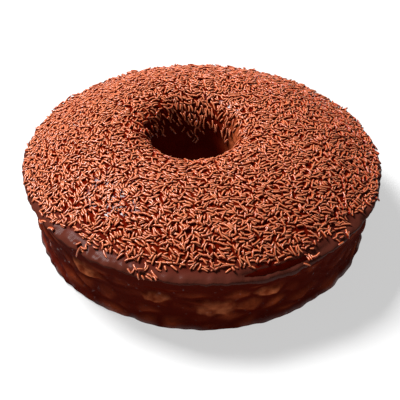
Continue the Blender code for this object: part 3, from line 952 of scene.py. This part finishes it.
def icing_finish():
    """Chocolate icing: deep red-brown, dull between the sprinkles, painted greyer at the bare edge as painted
    sheen and paler at the mouth's right as painted light, with streaks of shine and a satin edge.
    """
    finish = Finish("chocolate_icing_finish")
    tones = finish.ramp(finish.noise(scale=60.0, detail=4.0), ICING_TONES)
    # The bare edge is painted greyer, as painted sheen
    colour = finish.mix(finish.kept("edge"), tones, ICING_EDGE_PAINTED_SHEEN)
    # Painted light: the mouth's bare right side is painted paler where the lamp falls on it
    pale = finish.ramp(finish.noise(scale=420.0), ICING_PAINTED_LIGHT)
    finish.give("Base Color", finish.mix(finish.kept("warm"), colour, pale))
    finish.give("Roughness", finish.fit(finish.noise(scale=120.0), start=(0.3, 0.7), end=(0.26, 0.45)))
    finish.set(IOR=1.0, Coat_Roughness=0.22)
    patches = finish.fit(finish.noise(scale=170.0), start=(0.50, 0.62), end=(0.0, 0.42))
    streaks = finish.join("MULTIPLY", finish.kept("gloss"), patches)
    uneven = finish.fit(finish.noise(scale=130.0), start=(0.40, 0.70), end=(0.7, 1.0))
    satin = finish.join("MULTIPLY", finish.kept("satin"), uneven)
    finish.give("Coat Weight", finish.join("ADD", streaks, satin))
    soft = finish.bump(finish.noise(scale=260.0), strength=0.35, distance=0.0006)
    grain = finish.noise(scale=1100.0, detail=2.0)
    finish.give("Normal", finish.bump(grain, strength=0.2, distance=0.0002, below=soft))
    return finish.material


def cake_finish():
    """Dark chocolate cake wet with sauce: painted shade near black in the creases, painted light on the
    pillow tops, and caramel-brown patches laid on some pillow tops.
    """
    finish = Finish("wet_cake_finish")
    pillow = finish.kept("pillow")
    # Painted shade in the creases and painted light on the pillow tops
    deep = finish.ramp(pillow, CAKE_CREASE_SHADE_TONES)
    clouds = finish.noise(scale=24.0, detail=2.0, distortion=0.5)
    warm = finish.fit(clouds, start=(0.54, 0.72), end=(0.0, 0.35))
    # Random caramel patches, kept to the pillow tops as painted light
    warm_on_lit_tops = finish.join("MULTIPLY", warm, finish.fit(pillow, start=(0.25, 0.9), end=(0.0, 1.0)))
    colour = finish.mix(warm_on_lit_tops, deep, CAKE_WARM_ON_LIT_TOPS)
    mottle = finish.noise(scale=170.0, detail=4.0, roughness=0.6)
    wet = finish.mix(finish.fit(mottle, start=(0.35, 0.65), end=(0.0, 0.5)), colour, CAKE_MOTTLE)
    # Pale places: the cake's own paler colour, dimmed in the creases as painted shade
    pale = finish.ramp(finish.noise(scale=140.0, detail=4.0), CAKE_PALE)
    finish.give("Base Color", finish.mix(finish.kept("warm"), wet, pale))
    finish.set(Roughness=0.35, IOR=1.0, Coat_Roughness=0.14)
    puddles = finish.fit(finish.noise(scale=60.0), start=(0.45, 0.60), end=(0.0, 0.5))
    wet_foot = finish.join("MULTIPLY", finish.kept("foot"), puddles)
    damp = finish.fit(finish.noise(scale=300.0, detail=2.0), start=(0.67, 0.74), end=(0.02, 0.40))
    finish.give("Coat Weight", finish.join("ADD", damp, wet_foot))
    finish.give("Normal", finish.bump(finish.noise(scale=200.0), strength=0.5, distance=0.0012))
    return finish.material


def floor_finish():
    """Plain pale floor."""
    finish = Finish("pale_floor")
    finish.set(Base_Color=FLOOR_GREY, Roughness=0.8, Specular_IOR_Level=0.0)
    finish.set(Emission_Color=WHITE, Emission_Strength=FLOOR_GLOW)
    return finish.material


def make_floor():
    """A wide, flat, pale floor."""
    mesh = bpy.data.meshes.new("floor")
    corners = ((-1, -1), (1, -1), (1, 1), (-1, 1))
    mesh.from_pydata([(FLOOR_REACH * x, FLOOR_REACH * y, 0.0) for x, y in corners], [], [(0, 1, 2, 3)])
    floor = put("floor", mesh)
    mesh.materials.append(floor_finish())


def make_camera():
    """The camera, at the photograph's height, distance and slight roll."""
    camera = put("camera", bpy.data.cameras.new("camera"))
    back = Vector((0.0, -math.cos(VIEW_ELEVATION), math.sin(VIEW_ELEVATION)))
    right = Vector((1.0, 0.0, 0.0))
    up = back.cross(right)
    turned_right = right * math.cos(VIEW_ROLL) + up * math.sin(VIEW_ROLL)
    turned_up = up * math.cos(VIEW_ROLL) - right * math.sin(VIEW_ROLL)
    turn = Matrix((turned_right, turned_up, back)).transposed().to_4x4()
    camera.matrix_world = Matrix.Translation(VIEW_TARGET + back * VIEW_DISTANCE) @ turn
    camera.data.lens = VIEW_LENS
    camera.data.sensor_width = VIEW_SENSOR
    camera.data.clip_start = VIEW_NEAREST
    camera.data.clip_end = VIEW_FARTHEST
    bpy.context.scene.camera = camera


def area_light(name, toward, distance, size, power):
    """A square soft light that shines on the cake from a direction."""
    light = bpy.data.lights.new(name, "AREA")
    light.size = size
    light.energy = power
    lamp = put(name, light)
    direction = Vector(toward).normalized()
    lamp.location = direction * distance + LIT_POINT
    lamp.rotation_euler = direction.to_track_quat("Z", "Y").to_euler()


def make_light():
    """Soft studio light: a key from the upper left and a little behind, a weak fill, and a white room."""
    area_light("key", *KEY_LIGHT)
    area_light("fill", *FILL_LIGHT)
    world = bpy.data.worlds.new("white_room")
    world.use_nodes = True
    world.node_tree.nodes["Background"].inputs["Color"].default_value = WHITE
    world.node_tree.nodes["Background"].inputs["Strength"].default_value = ROOM_LIGHT
    bpy.context.scene.world = world
    bpy.context.scene.view_settings.view_transform = "Standard"


def main():
    make_camera()
    make_light()
    make_floor()
    icing_section, cake_section, outer_count = sections()
    body = make_cake(cake_section)
    body.data.materials.append(cake_finish())
    coat = make_coat(icing_section, outer_count)
    coat.data.materials.append(icing_finish())
    sprinkles = lay_sprinkles(coat, sprinkle_finish())

    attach(body, "root")
    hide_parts("cake")
    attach(coat, "root")
    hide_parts("icing")
    for piece in sprinkles:
        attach(piece, "root")


main()
